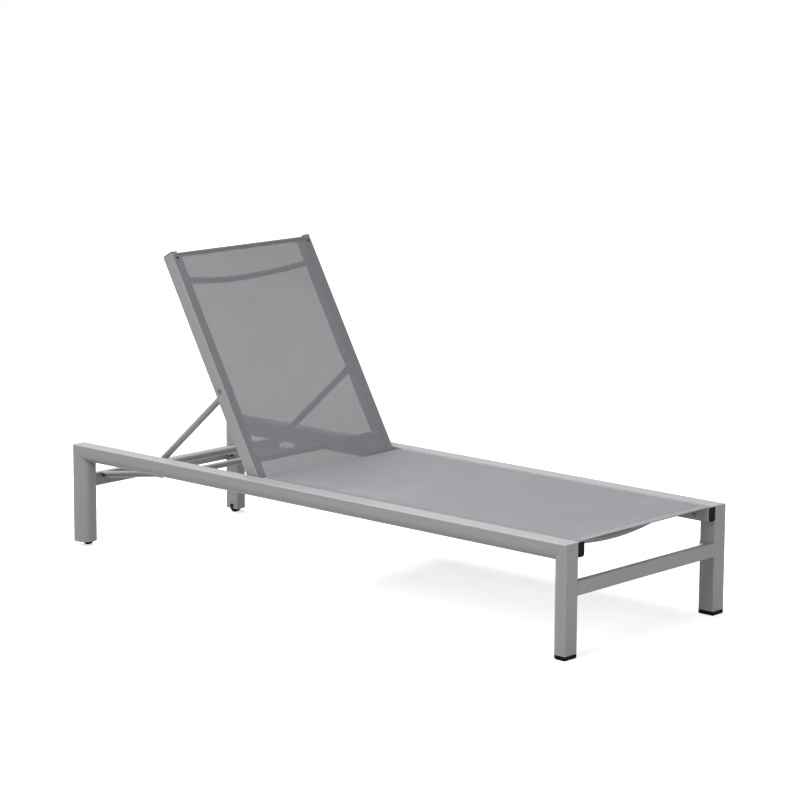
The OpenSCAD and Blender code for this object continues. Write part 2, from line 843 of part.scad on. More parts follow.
// Rack plate coped over the cradle's arm, its notches at the bar's places for each backrest angle
module rack_plate() {
    first = notch_at(back_angle);
    last = notch_at(back_angle - (notch_n - 1) * notch_step);
    top = cradle_d / 2 + notch_up + tooth_h;
    color(metal) on_cradle() translate([cradle_x - rack_t / 2, 0, 0]) difference() {
        translate([0, first - rack_over, 0]) lay_across() linear_extrude(rack_t)
            rack_outline(last - first + 2 * rack_over, top);
        for (i = [0 : notch_n - 1])
            translate([-over, notch_at(back_angle - i * notch_step), notch_z]) outward()
                cylinder(r = notch_r, h = rack_t + 2 * over, $fn = fine_fn);
        translate([rack_t / 2, first - rack_over - over, 0]) rotate([-90, 0, 0])
            cylinder(d = cradle_d, h = last - first + 2 * (rack_over + over));
    }
}

module rack_outline(l, top) {
    square([l, top - tooth_h]);
    translate([tooth_h, 0]) square([l - 2 * tooth_h, top]);
    for (x = [tooth_h, l - tooth_h])
        translate([x, top - tooth_h]) circle(r = tooth_h);
}

module rack_plate_right() {
    rack_plate();
}

module rack_plate_left() {
    left() rack_plate();
}

// Bracket under the side rail's inner face that carries the cradle's arm
module rack_hanger() {
    drop = hanger_top - hanger_arm_z + hanger_t / 2;
    color(metal) difference() {
        translate([0, hanger_y - hanger_w / 2, 0]) {
            translate([rail_in - hanger_t, 0, hanger_top - drop]) cube([hanger_t, hanger_w, drop]);
            translate([cradle_x, 0, hanger_arm_z - hanger_t / 2])
                cube([rail_in - cradle_x, hanger_w, hanger_t]);
        }
        on_cradle() translate([cradle_x, 0, 0]) lay_along() cylinder(d = cradle_d, h = cradle_l);
        for (s = [-1, 1])
            translate([rail_in - hanger_t - over, hanger_bolt_y(s), hanger_bolt_z])
                outward() cylinder(d = hanger_bolt_d + 2 * bolt_play, h = hanger_t + 2 * over);
    }
}

module rack_hanger_right() {
    rack_hanger();
}

module rack_hanger_left() {
    left() rack_hanger();
}

module rack_hanger_bolts() {
    color(steel) both() for (s = [-1, 1])
        translate([rail_in - hanger_t, hanger_bolt_y(s), hanger_bolt_z]) outward()
            bolt(hanger_bolt_d, hanger_t + tube_wall + thread_l, low_head_h);
}

// Cross bolts with their heads on the cradle's outboard side
module rack_end_bolts() {
    color(black) both() on_cradle() translate([cradle_x + cradle_d / 2, -cradle_bolt_in, 0])
        rotate([0, -90, 0]) bolt(cradle_bolt_d, cradle_d + low_head_h);
}

module hinge_bolts() {
    color(steel) both() translate([back_in - side_play, hinge_y, hinge_z]) outward()
        bolt(hinge_d, rail_in - back_in + side_play + tube_wall + thread_l, hinge_head_h);
}

module hinge_spacers() {
    color(black) both() translate([back_out + side_play, hinge_y, hinge_z]) outward() difference() {
        cylinder(d = spacer_d, h = hinge_gap - side_play);
        translate([0, 0, -over]) cylinder(d = hinge_d + 2 * bolt_play, h = hinge_gap + 2 * over);
    }
}

module axle_bolts() {
    color(black) both() translate([rail_in, leg_y, wheel_z]) outward()
        bolt(axle_d, tube_w - tube_wall, low_head_h);
}

// Wheel turned about its axle: hub, web, rim and rounded tread
module wheel() {
    web_r = wheel_d / 2 - rim_t;
    axle_x = (rail_in + tube_wall + boss_x) / 2;
    color(black) translate([axle_x, leg_y, wheel_z]) outward() rotate_extrude($fn = fine_fn) difference() {
        union() {
            translate([0, -hub_w / 2]) square([hub_d / 2, hub_w]);
            translate([0, -web_t / 2]) square([web_r + over, web_t]);
            translate([web_r + rim_t / 2, 0]) round_box([rim_t, tread_w], tread_r);
        }
        translate([0, -hub_w / 2 - over]) square([wheel_bore_d / 2, hub_w + 2 * over]);
    }
}

module wheel_right() {
    wheel();
}

module wheel_left() {
    left() wheel();
}

module pivot_sleeve(at, d) {
    translate([back_in, at, 0]) outward() cylinder(d = d, h = sling_rail_w);
}

module pivot_bore(at, d) {
    translate([back_in - over, at, 0]) outward()
        cylinder(d = d + 2 * bolt_play, h = sling_rail_w + 2 * over);
}

module spigot_bore(at, front) {
    translate([back_in - over, at, front]) outward()
        cylinder(d = spigot_d + 2 * bolt_play, h = rail_wall + 2 * over);
}

module back_rail() {
    color(metal) on_back() difference() {
        union() {
            translate([back_x, back_top, back_w]) lay_along() linear_extrude(back_top - back_bottom)
                rail_section(back_size);
            pivot_sleeve(0, sleeve_d);
            pivot_sleeve(pivot_up, sleeve_d);
        }
        pivot_bore(0, hinge_d);
        pivot_bore(pivot_up, pivot_d);
        spigot_bore(low_bar_up, 0);
        for (in = [top_spreader_in, top_bar_in])
            spigot_bore(back_l - in, top_bars_front);
        at_rivet() rivet_hole();
    }
}

module back_rail_right() {
    back_rail();
}

module back_rail_left() {
    left() back_rail();
}

// The upper caps' plugs leave room for the top bar's spigots
module back_rail_caps() {
    color(black) both() {
        on_back() translate([back_x, back_bottom, back_w]) lay_along() rail_cap(back_size);
        difference() {
            on_back() translate([back_x, back_top, back_w]) mirror([0, 1, 0]) lay_along()
                rail_cap(back_size);
            at_top_bar() translate([back_in, 0, 0]) outward()
                cylinder(d = spigot_d + 2 * plug_play, h = spigot_l + over);
        }
    }
}

module at_top_bar() {
    on_back() translate([0, back_l - top_bar_in, top_bars_front]) children();
}

module at_back_spreader() {
    on_back() translate([0, back_l - top_spreader_in, top_bars_front]) children();
}

module at_low_bar() {
    on_back() translate([0, low_bar_up, 0]) children();
}

module back_top_bar() {
    color(metal) at_top_bar() straight_tube(back_in, top_bar_d);
}

module back_spreader() {
    color(metal) at_back_spreader() bowed_tube(back_in, back_bow, spreader_d);
}

module back_low_bar() {
    color(metal) at_low_bar() straight_tube(back_in, low_bar_d);
}

module back_bar_plugs() {
    color(steel) both() {
        at_top_bar() straight_plug(back_in, top_bar_d);
        at_back_spreader() bowed_plug(back_in, back_bow, spreader_d);
        at_low_bar() straight_plug(back_in, low_bar_d);
    }
}

module back_sling() {
    slot_x = back_out - back_channel_in;
    top = back_l - back_sling_top;
    color(sling_grey) on_back() difference() {
        translate([0, top, back_face]) lay_along() linear_extrude(top - back_sling_low)
            sling_section(back_in, slot_x, back_sag);
        translate([0, top, back_face]) mirror([0, 1, 0]) edge_cut(slot_x, back_sling_bow);
        both() at_rivet() rivet_hole();
    }
}

module at_rivet() {
    translate([back_in + rivet_side, back_l - rivet_in, back_face]) children();
}

module rivet_hole() {
    translate([0, 0, -rail_wall - over])
        cylinder(d = rivet_d + 2 * bolt_play, h = rail_wall + sling_t + 2 * over);
}

// Rivets through the sling and the front wall of each backrest rail
module sling_rivets() {
    head_step = rivet_head_h / 2;
    color(black) on_back() both() at_rivet() {
        translate([0, 0, -rail_wall - rivet_tail])
            cylinder(d = rivet_d, h = rail_wall + rivet_tail + sling_t + head_step);
        translate([0, 0, sling_t]) cylinder(d = rivet_head_d, h = head_step);
        translate([0, 0, sling_t + head_step]) cylinder(d1 = rivet_head_d, d2 = rivet_d, h = head_step);
    }
}

// Pivot bolts: head on the rail's outboard face, nut inboard of the bail's arm
module bail_pivot_bolts() {
    nut_x = bail_x - bail_arm_d / 2 - side_play;
    color(steel) both() on_back() translate([0, pivot_up, 0]) {
        translate([back_out, 0, 0]) rotate([0, -90, 0]) bolt(pivot_d, back_out - nut_x, low_head_h);
        translate([nut_x - pivot_nut_h, 0, 0]) outward() cylinder(d = pivot_d * nut_share, h = pivot_nut_h,
            $fn = 6);
    }
}

module bail_washers() {
    color(steel) both() on_back() translate([back_in - washer_t, pivot_up, 0]) outward() difference() {
        cylinder(d = sleeve_d, h = washer_t);
        translate([0, 0, -over]) cylinder(d = pivot_d + 2 * bolt_play, h = washer_t + 2 * over);
    }
}

// Arm of the bail: tube coped onto the crossbar, plugged above its pivot, with a cross sleeve for the bolt
module bail_arm() {
    color(metal) on_bail() difference() {
        union() {
            translate([bail_x, -bail_arm_over, 0]) rotate([-90, 0, 0])
                cylinder(d = bail_arm_d, h = bail_l + bail_arm_over);
            translate([bail_x - bail_arm_d / 2, 0, 0]) outward() cylinder(d = sleeve_d, h = bail_arm_d);
        }
        translate([bail_x, sleeve_d, 0]) rotate([-90, 0, 0])
            cylinder(d = bail_arm_d - 2 * bar_wall, h = bail_l);
        translate([bail_x - bail_arm_d / 2 - over, 0, 0]) outward()
            cylinder(d = pivot_d + 2 * bolt_play, h = bail_arm_d + 2 * over);
        translate([0, bail_l, 0]) outward() cylinder(d = bail_bar_d, h = half_w);
    }
}

module bail_arm_right() {
    bail_arm();
}

module bail_arm_left() {
    left() bail_arm();
}

module bail_bar() {
    color(metal) on_bail() translate([0, bail_l, 0]) straight_tube(bail_half, bail_bar_d);
}

module bail_bar_plugs() {
    color(black) both() on_bail() translate([bail_half, bail_l, 0]) outward() {
        cylinder(d1 = bail_bar_d, d2 = bail_bar_d - bail_plug_head, h = bail_plug_head);
        translate([0, 0, -plug_l]) cylinder(d = bail_bar_d - 2 * bar_wall - 2 * plug_play, h = plug_l);
    }
}

side_rail_left();
side_rail_right();
front_leg_left();
front_leg_right();
rear_leg_left();
rear_leg_right();
foot_stretcher();
head_stretcher();
foot_screws();
head_bolts();
foot_cap_left();
foot_cap_right();
seat_rail_left();
seat_rail_right();
seat_rail_caps();
seat_rail_screws();
seat_spreader_foot();
seat_spreader_head();
seat_spreader_plugs();
seat_sling();
rack_arm_left();
rack_arm_right();
rack_crossbar();
rack_plate_left();
rack_plate_right();
rack_hanger_left();
rack_hanger_right();
rack_hanger_bolts();
rack_end_bolts();
hinge_bolts();
hinge_spacers();
axle_bolts();
wheel_left();
wheel_right();
back_rail_left();
back_rail_right();
back_rail_caps();
back_top_bar();
back_spreader();
back_low_bar();
back_bar_plugs();
back_sling();
sling_rivets();
bail_pivot_bolts();
bail_washers();
bail_arm_left();
bail_arm_right();
bail_bar();
bail_bar_plugs();
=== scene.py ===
import json
from math import cos, pi, radians, sin, sqrt

import bmesh
import bpy
from mathutils import Matrix, Vector


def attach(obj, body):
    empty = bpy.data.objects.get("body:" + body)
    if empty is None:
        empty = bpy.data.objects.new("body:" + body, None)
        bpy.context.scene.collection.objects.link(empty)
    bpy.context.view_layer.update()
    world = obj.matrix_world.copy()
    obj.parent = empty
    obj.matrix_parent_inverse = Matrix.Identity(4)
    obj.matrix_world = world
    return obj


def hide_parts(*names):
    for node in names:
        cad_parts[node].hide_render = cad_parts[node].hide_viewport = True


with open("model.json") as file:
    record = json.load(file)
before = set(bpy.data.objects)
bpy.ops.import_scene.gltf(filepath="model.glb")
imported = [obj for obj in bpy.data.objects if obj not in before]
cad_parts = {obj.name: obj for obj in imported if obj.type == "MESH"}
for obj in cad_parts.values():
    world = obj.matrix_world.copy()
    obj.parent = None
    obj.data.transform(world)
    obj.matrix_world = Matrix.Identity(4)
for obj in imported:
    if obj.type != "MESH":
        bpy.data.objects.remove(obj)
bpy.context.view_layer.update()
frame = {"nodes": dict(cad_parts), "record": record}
nodes = frame["nodes"]
scene = bpy.context.scene

# The photograph's camera, fitted to the frame's corners, in metres and degrees
CAMERA_AT = (-6.1904, -5.6873, 2.0836)
CAMERA_YAW = 47.72
CAMERA_PITCH = 10.49
CAMERA_ROLL = 0.32
FOCAL_PX = 2958
IMAGE_PX = 800
SENSOR_MM = 36

camera_data = bpy.data.cameras.new("camera")
camera_data.sensor_width = SENSOR_MM
camera_data.lens = FOCAL_PX * SENSOR_MM / IMAGE_PX
camera_data.clip_end = 100
camera = bpy.data.objects.new("camera", camera_data)
camera.location = CAMERA_AT
camera.rotation_euler = (
    Matrix.Rotation(radians(-CAMERA_YAW), 4, "Z")
    @ Matrix.Rotation(radians(90 - CAMERA_PITCH), 4, "X")
    @ Matrix.Rotation(radians(CAMERA_ROLL), 4, "Z")
).to_euler()
scene.collection.objects.link(camera)
scene.camera = camera

# Sizes shared with the solids, in metres and radians
HINGE_Y = 0.243
HINGE_Z = 0.29225
BACK_ANGLE = radians(60.2)
SEAT_INNER = 0.275      # half the free web between the rails
SEAT_SLOT = 0.2875      # half the way from slot to slot
SEAT_FACE = 0.3115      # the height of the rails' faces
BACK_INNER = 0.266
BACK_SLOT = 0.2845
BACK_FACE = 0.01925
CHANNEL_DOWN = 0.008    # from a rail's face down to the cord's centre

# Where the cloths lie
SEAT_START = -0.958
SEAT_END = 0.201
SEAT_EDGE_BOW = 0.013
SEAT_SAG = 0.0055
BACK_LOW = -0.0175
BACK_TOP = 0.7185
BACK_EDGE_BOW = 0.003
BACK_SAG = 0.0018
CLOTH_T = 0.00035
CLOTH_LIFT = 0.0006     # from a rail's face up to the cloth's middle


# Node trees

def feed(tree, value, socket):
    """Links a socket's value, or sets a number or a colour."""
    if isinstance(value, bpy.types.NodeSocket):
        tree.links.new(value, socket)
    elif isinstance(value, tuple):
        socket.default_value = (*value, 1)
    else:
        socket.default_value = value


def math_node(tree, operation, *values):
    node = tree.nodes.new("ShaderNodeMath")
    node.operation = operation
    for socket, value in zip(node.inputs, values):
        feed(tree, value, socket)
    return node.outputs[0]


def noise(tree, vector, scale, detail, roughness=0.5):
    node = tree.nodes.new("ShaderNodeTexNoise")
    for name, value in (("Vector", vector), ("Scale", scale), ("Detail", detail),
                        ("Roughness", roughness)):
        feed(tree, value, node.inputs[name])
    return node.outputs["Fac"]


def remap(tree, value, low, high, new_low, new_high):
    node = tree.nodes.new("ShaderNodeMapRange")
    for name, number in (("Value", value), ("From Min", low), ("From Max", high),
                         ("To Min", new_low), ("To Max", new_high)):
        feed(tree, number, node.inputs[name])
    return node.outputs["Result"]


def mix_colour(tree, factor, first, second):
    node = tree.nodes.new("ShaderNodeMix")
    node.data_type = "RGBA"
    feed(tree, factor, node.inputs["Factor"])
    feed(tree, first, node.inputs[6])
    feed(tree, second, node.inputs[7])
    return node.outputs[2]


def object_coords(tree):
    return tree.nodes.new("ShaderNodeTexCoord").outputs["Object"]


def bump(tree, shader, height, distance, strength=1.0):
    node = tree.nodes.new("ShaderNodeBump")
    feed(tree, strength, node.inputs["Strength"])
    feed(tree, distance, node.inputs["Distance"])
    feed(tree, height, node.inputs["Height"])
    feed(tree, node.outputs["Normal"], shader.inputs["Normal"])


def new_material(name):
    material = bpy.data.materials.new(name)
    material.use_nodes = True
    tree = material.node_tree
    tree.nodes.clear()
    output = tree.nodes.new("ShaderNodeOutputMaterial")
    return material, tree, output.inputs["Surface"]


def principled(tree, surface_socket):
    shader = tree.nodes.new("ShaderNodeBsdfPrincipled")
    feed(tree, shader.outputs["BSDF"], surface_socket)
    return shader


# One group serves the coated metals and the mouldings: dust in the colour, unevenness in the gloss

CLOUD = {"scale": 9, "detail": 5, "roughness": 0.6}
SPECK = {"scale": 140, "detail": 3, "roughness": 0.6}
GRAIN_DETAIL = 2
CLOUD_DUST = (0.42, 0.72)   # where the cloud starts to hold dust, and where it is full
SPECK_DUST = (0.35, 0.75)
LEAST_SPECK = 0.2
NOISE_MIDDLE = 0.5


def surface_group():
    group = bpy.data.node_groups.new("surface_variation", "ShaderNodeTree")
    for name, kind in (("Colour", "Color"), ("Dust Colour", "Color"), ("Dust", "Float"),
                       ("Roughness", "Float"), ("Unevenness", "Float"), ("Fineness", "Float")):
        group.interface.new_socket(name, in_out="INPUT", socket_type="NodeSocket" + kind)
    for name, kind in (("Colour", "Color"), ("Roughness", "Float"), ("Grain", "Float")):
        group.interface.new_socket(name, in_out="OUTPUT", socket_type="NodeSocket" + kind)
    given = group.nodes.new("NodeGroupInput").outputs
    result = group.nodes.new("NodeGroupOutput").inputs
    coords = object_coords(group)
    cloud = noise(group, coords, **CLOUD)
    speck = noise(group, coords, **SPECK)
    dust = math_node(group, "MULTIPLY", remap(group, cloud, *CLOUD_DUST, 0, 1),
                     remap(group, speck, *SPECK_DUST, LEAST_SPECK, 1))
    amount = math_node(group, "MULTIPLY", dust, given["Dust"])
    feed(group, mix_colour(group, amount, given["Colour"], given["Dust Colour"]), result["Colour"])
    uneven = math_node(group, "MULTIPLY", math_node(group, "SUBTRACT", cloud, NOISE_MIDDLE),
                       given["Unevenness"])
    feed(group, math_node(group, "ADD", given["Roughness"], uneven), result["Roughness"])
    feed(group, noise(group, coords, given["Fineness"], GRAIN_DETAIL), result["Grain"])
    return group


surface = surface_group()


def surfaced(name, colour, dust_colour, dust, roughness, unevenness, fineness, grain_depth,
             metallic=0.0, specular=0.5):
    material, tree, surface_socket = new_material(name)
    shader = principled(tree, surface_socket)
    group = tree.nodes.new("ShaderNodeGroup")
    group.node_tree = surface
    for socket, value in (("Colour", colour), ("Dust Colour", dust_colour), ("Dust", dust),
                          ("Roughness", roughness), ("Unevenness", unevenness),
                          ("Fineness", fineness)):
        feed(tree, value, group.inputs[socket])
    feed(tree, group.outputs["Colour"], shader.inputs["Base Color"])
    feed(tree, group.outputs["Roughness"], shader.inputs["Roughness"])
    bump(tree, shader, group.outputs["Grain"], grain_depth)
    feed(tree, metallic, shader.inputs["Metallic"])
    feed(tree, specular, shader.inputs["Specular IOR Level"])
    return material


aluminium = surfaced(
    "powder_coated_aluminium", colour=(0.42, 0.42, 0.43), dust_colour=(0.47, 0.47, 0.46),
    dust=0.25, roughness=0.42, unevenness=0.12, fineness=1500, grain_depth=0.00006,
    metallic=0.1, specular=0.22)
dark_coat = surfaced(
    "dark_coated_aluminium", colour=(0.07, 0.07, 0.074), dust_colour=(0.12, 0.12, 0.12),
    dust=0.3, roughness=0.45, unevenness=0.12, fineness=1500, grain_depth=0.00006,
    metallic=0.1, specular=0.22)
plastic = surfaced(
    "black_plastic", colour=(0.009, 0.009, 0.010), dust_colour=(0.03, 0.03, 0.03),
    dust=0.5, roughness=0.55, unevenness=0.15, fineness=1800, grain_depth=0.00008,
    specular=0.04)
wheel_plastic = surfaced(
    "wheel_plastic", colour=(0.009, 0.009, 0.010), dust_colour=(0.05, 0.048, 0.046),
    dust=0.7, roughness=0.6, unevenness=0.2, fineness=1200, grain_depth=0.0001,
    specular=0.05)
black_bolt = surfaced(
    "black_oxide", colour=(0.009, 0.009, 0.009), dust_colour=(0.03, 0.03, 0.03),
    dust=0.3, roughness=0.4, unevenness=0.15, fineness=1600, grain_depth=0.00003,
    specular=0.16)
bright_bolt = surfaced(
    "bright_steel", colour=(0.62, 0.62, 0.61), dust_colour=(0.5, 0.49, 0.47),
    dust=0.3, roughness=0.28, unevenness=0.15, fineness=1600, grain_depth=0.00003,
    metallic=1.0)
dull_bolt = surfaced(
    "dull_zinc", colour=(0.13, 0.13, 0.132), dust_colour=(0.2, 0.195, 0.19),
    dust=0.5, roughness=0.45, unevenness=0.15, fineness=1600, grain_depth=0.00003,
    metallic=0.9)
thread = surfaced(
    "sewing_thread", colour=(0.22, 0.22, 0.235), dust_colour=(0.4, 0.4, 0.4),
    dust=0.3, roughness=0.7, unevenness=0.1, fineness=4000, grain_depth=0.0001)
cord_plastic = surfaced(
    "keder_cord", colour=(0.2, 0.2, 0.21), dust_colour=(0.3, 0.3, 0.3),
    dust=0.3, roughness=0.6, unevenness=0.1, fineness=2500, grain_depth=0.0001)

# Woven sling: warp and weft of coated yarn, with a small hole between every four crossings.
# The cloth's own UV map is in metres across and along the weave.
YARN_WARP = 0.0016
YARN_WEFT = 0.0019
WARP_GAP_SHARE = 0.42
WEFT_GAP_SHARE = 0.4
UNDER_HEIGHT = 0.3      # how high a yarn stands where it goes under, against 1 more on top
WEAVE_RELIEF = 0.00035
WEAVE_BUMP = 0.8
WEAVE_ROUGHNESS = 0.55
WEAVE_SHEEN = 0.4
WEAVE_CLOUD = {"scale": 7, "detail": 4, "roughness": 0.6}
WEAVE_CLOUD_SPAN = (0.3, 0.7)
WEAVE_SHADES = (0.94, 1.06)  # the yarn's darkest and lightest over that span


def woven_material(name, warp, weft, open_share=1.0):
    """open_share is the holes' width against the sling's; 0 closes them, for doubled cloth."""
    material, tree, surface_socket = new_material(name)
    shader = principled(tree, surface_socket)
    uv = tree.nodes.new("ShaderNodeUVMap")
    uv.uv_map = "weave"
    parts = tree.nodes.new("ShaderNodeSeparateXYZ")
    feed(tree, uv.outputs["UV"], parts.inputs["Vector"])

    def maths(operation, *values):
        return math_node(tree, operation, *values)

    def profile(value):
        """0 at a yarn's edges and 1 along its middle."""
        ramp = maths("MULTIPLY_ADD", maths("FRACT", value), 2, -1)
        return maths("SUBTRACT", 1, maths("ABSOLUTE", ramp))

    across = maths("DIVIDE", parts.outputs["X"], YARN_WARP)
    along = maths("DIVIDE", parts.outputs["Y"], YARN_WEFT)
    warp_here = profile(across)
    weft_here = profile(along)
    crossing = maths("ADD", maths("FLOOR", across), maths("FLOOR", along))
    weft_on_top = maths("FLOORED_MODULO", crossing, 2)
    warp_up = maths("MULTIPLY", warp_here, maths("SUBTRACT", 1 + UNDER_HEIGHT, weft_on_top))
    weft_up = maths("MULTIPLY", weft_here, maths("ADD", UNDER_HEIGHT, weft_on_top))
    yarn = mix_colour(tree, maths("GREATER_THAN", weft_up, warp_up), warp, weft)
    cloud = noise(tree, object_coords(tree), **WEAVE_CLOUD)
    shade = remap(tree, cloud, *WEAVE_CLOUD_SPAN, *WEAVE_SHADES)
    shaded = tree.nodes.new("ShaderNodeVectorMath")
    shaded.operation = "SCALE"
    feed(tree, yarn, shaded.inputs[0])
    feed(tree, shade, shaded.inputs["Scale"])
    feed(tree, shaded.outputs["Vector"], shader.inputs["Base Color"])
    hole = maths("MULTIPLY", maths("LESS_THAN", warp_here, WARP_GAP_SHARE * open_share),
                 maths("LESS_THAN", weft_here, WEFT_GAP_SHARE * open_share))
    feed(tree, maths("SUBTRACT", 1, hole), shader.inputs["Alpha"])
    bump(tree, shader, maths("MAXIMUM", warp_up, weft_up), WEAVE_RELIEF, WEAVE_BUMP)
    feed(tree, WEAVE_ROUGHNESS, shader.inputs["Roughness"])
    feed(tree, WEAVE_SHEEN, shader.inputs["Sheen Weight"])
    return material


sling_weave = woven_material("woven_sling", warp=(0.308, 0.313, 0.34), weft=(0.257, 0.261, 0.284))
# The hems' yarn is darker than the sling's as painted shade, for the doubled cloth over the rails
# and its shaded gaps. Its holes are closed, as doubled cloth has.
hem_weave_painted_shade = woven_material("woven_hem_painted_shade", warp=(0.235, 0.24, 0.26), weft=(0.196, 0.2, 0.217),
                           open_share=0.0)
seat_hem_weave = woven_material("woven_seat_hem", warp=(0.305, 0.31, 0.337),
                                weft=(0.254, 0.258, 0.281), open_share=0.0)

SLOT_MATERIALS = {
    "satin_aluminium": aluminium,
    "dark_grey_coat": dark_coat,
    "black_plastic": plastic,
    "wheel_black": wheel_plastic,
    "black_bolt": black_bolt,
    "bright_steel": bright_bolt,
    "woven_sling": sling_weave,
}
# Small fixings that don't glint
DULL_NODES = ("bail_pivot_bolts", "bail_washers", "seat_rail_screws", "rack_hanger_bolts",
              "hinge_bolts")
for part in frame["record"]["subparts"]:
    mesh = nodes[part["node"]].data
    mesh.materials.clear()
    mesh.materials.append(SLOT_MATERIALS[part["material_slot"]])
for node in DULL_NODES:
    nodes[node].data.materials[0] = dull_bolt


# Placing on the bodies

def as_is(point):
    return Vector(point)


BACK_PLACE = Matrix.Translation((0, HINGE_Y, HINGE_Z)) @ Matrix.Rotation(BACK_ANGLE, 4, "X")


def on_back(point):
    return BACK_PLACE @ Vector(point)


def add_piece(name, mesh, material, body):
    piece = bpy.data.objects.new(name, mesh)
    scene.collection.objects.link(piece)
    mesh.materials.append(material)
    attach(piece, body)
    return piece


# The two slings: x across, y along, z out of the cloth's face

EDGE_OVER_CORD = 0.003          # the cloth's edge above the cord's centre
TURN_UNDER_FACE = 0.001         # where the cloth starts to turn out of the slot
TURN_STEPS = 4
RAIL_SHARES = (0.35, 0.7, 0.92)  # stations on the rail, from its slot to its inner edge
WEB_COLUMNS = 48


def section_points(inner, slot, face, sag):
    """The cloth's middle line from slot to slot, as (x, z, share of the web's sag)."""
    top = face + CLOTH_LIFT
    side = [(slot, face - CHANNEL_DOWN + EDGE_OVER_CORD, 0), (slot, face - TURN_UNDER_FACE, 0)]
    for i in range(TURN_STEPS + 1):
        turn = pi / 2 * i / TURN_STEPS
        side.append((slot - CLOTH_T + CLOTH_T * cos(turn), top - CLOTH_T + CLOTH_T * sin(turn), 0))
    side += [(slot - (slot - inner) * share, top, 0) for share in RAIL_SHARES]
    web = []
    for i in range(WEB_COLUMNS + 1):
        across = 1 - 2 * i / WEB_COLUMNS
        web.append((inner * across, top, 1 - across ** 2))
    other_side = [(-x, z, share) for x, z, share in reversed(side)]
    return [(x, z - sag * share, share) for x, z, share in side + web + other_side]


class Sling:
    """A cloth stretched between rails; edge(row, x) gives y, and relief(x, y) a small height."""

    def __init__(self, body, place, inner, slot, face, sag, edge, relief):
        self.body = body
        self.place = place
        self.inner = inner
        self.slot = slot
        self.face = face
        self.sag = sag
        self.edge = edge
        self.relief = relief
        self.columns = section_points(inner, slot, face, sag)


def hollow(x, half, bow):
    """How far a bowed end stands back from its own corners."""
    return bow * (1 - (x / half) ** 2)


def seat_edge(row, x):
    start = SEAT_START + hollow(x, SEAT_SLOT, SEAT_EDGE_BOW)
    return start + (SEAT_END - start) * row


def back_edge(row, x):
    top = BACK_TOP - hollow(x, BACK_SLOT, BACK_EDGE_BOW)
    return BACK_LOW + (top - BACK_LOW) * row


LONG_WAVE_HIGH = 0.0009
SHORT_WAVE_HIGH = 0.0006
END_LIFT = 0.0022


def web_relief(start, end, reach, long_wave, short_wave):
    """Two shallow waves, in radians per metre along and across, and a lift near the taut ends."""
    def height(x, y):
        near_end = max(0, 1 - (y - start) / reach) + max(0, 1 - (end - y) / reach)
        return (LONG_WAVE_HIGH * sin(long_wave[0] * y + long_wave[1] * x)
                + SHORT_WAVE_HIGH * sin(short_wave[0] * y + short_wave[1] * x)
                + END_LIFT * min(near_end, 1))
    return height


seat = Sling("frame", as_is, SEAT_INNER, SEAT_SLOT, SEAT_FACE, SEAT_SAG, seat_edge,
             web_relief(SEAT_START, SEAT_END, reach=0.2, long_wave=(9, 4), short_wave=(17, -3)))
back = Sling("backrest", on_back, BACK_INNER, BACK_SLOT, BACK_FACE, BACK_SAG, back_edge,
             web_relief(BACK_LOW, BACK_TOP, reach=0.15, long_wave=(11, -5), short_wave=(19, 4)))

# Cloth

SEAT_ROWS = 60
BACK_ROWS = 40
SIDE_HEM_ROWS = 40
DENSE_END = 0.02        # the share of the cloth at each end that has closer rows
DENSE_ROWS = 4


def edge_rows(count):
    """Row shares from 0 to 1 along a cloth, closer near both ends."""
    middle = [DENSE_END + (1 - 2 * DENSE_END) * i / count for i in range(count + 1)]
    end = [DENSE_END * i / DENSE_ROWS for i in range(DENSE_ROWS)]
    return end + middle + [1 - share for share in reversed(end)]


def widths_across(columns):
    """How far each column lies from the first, measured along the cloth."""
    widths = [0]
    for (x1, z1, _), (x2, z2, _) in zip(columns, columns[1:]):
        widths.append(widths[-1] + sqrt((x2 - x1) ** 2 + (z2 - z1) ** 2))
    return widths


def woven_mesh(name, points, weave):
    """A smooth mesh over lines of points, with their places in the weave as its UV map."""
    mesh = bpy.data.meshes.new(name)
    build = bmesh.new()
    uv = build.loops.layers.uv.new("weave")
    verts = [[build.verts.new(point) for point in line] for line in points]
    for i in range(len(verts) - 1):
        for j in range(len(verts[0]) - 1):
            corners = ((i, j), (i, j + 1), (i + 1, j + 1), (i + 1, j))
            face = build.faces.new([verts[line][spot] for line, spot in corners])
            face.smooth = True
            for loop, (line, spot) in zip(face.loops, corners):
                loop[uv].uv = weave[line][spot]
    bmesh.ops.recalc_face_normals(build, faces=build.faces)
    build.to_mesh(mesh)
    build.free()
    return mesh


def cloth_mesh(name, sling, columns, row_count):
    """The cloth's middle surface over columns of (x, z, share of the sag)."""
    widths = widths_across(columns)
    points = []
    weave = []
    for row in edge_rows(row_count):
        ys = [sling.edge(row, x) for x, _, _ in columns]
        points.append([sling.place((x, y, z + share * sling.relief(x, y)))
                       for (x, z, share), y in zip(columns, ys)])
        weave.append(list(zip(widths, ys)))
    return woven_mesh(name, points, weave)


def thicken(piece, thickness):
    """Gives a sheet its thickness, half on each side."""
    solid = piece.modifiers.new("thickness", "SOLIDIFY")
    solid.thickness = thickness
    solid.offset = 0
    bpy.context.view_layer.update()
    graph = bpy.context.evaluated_depsgraph_get()
    mesh = bpy.data.meshes.new_from_object(piece.evaluated_get(graph))
    piece.modifiers.remove(solid)
    sheet = piece.data
    piece.data = mesh
    bpy.data.meshes.remove(sheet)


def cloth(name, sling, row_count):
    mesh = cloth_mesh(name, sling, sling.columns, row_count)
    piece = add_piece(name, mesh, sling_weave, sling.body)
    thicken(piece, CLOTH_T)
    return piece


seat_cloth = cloth("seat_cloth", seat, SEAT_ROWS)
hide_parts("seat_sling")
back_cloth = cloth("back_cloth", back, BACK_ROWS)
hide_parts("back_sling")

# End hems: a strip folded round each end of a cloth, its under layer hanging a little lower

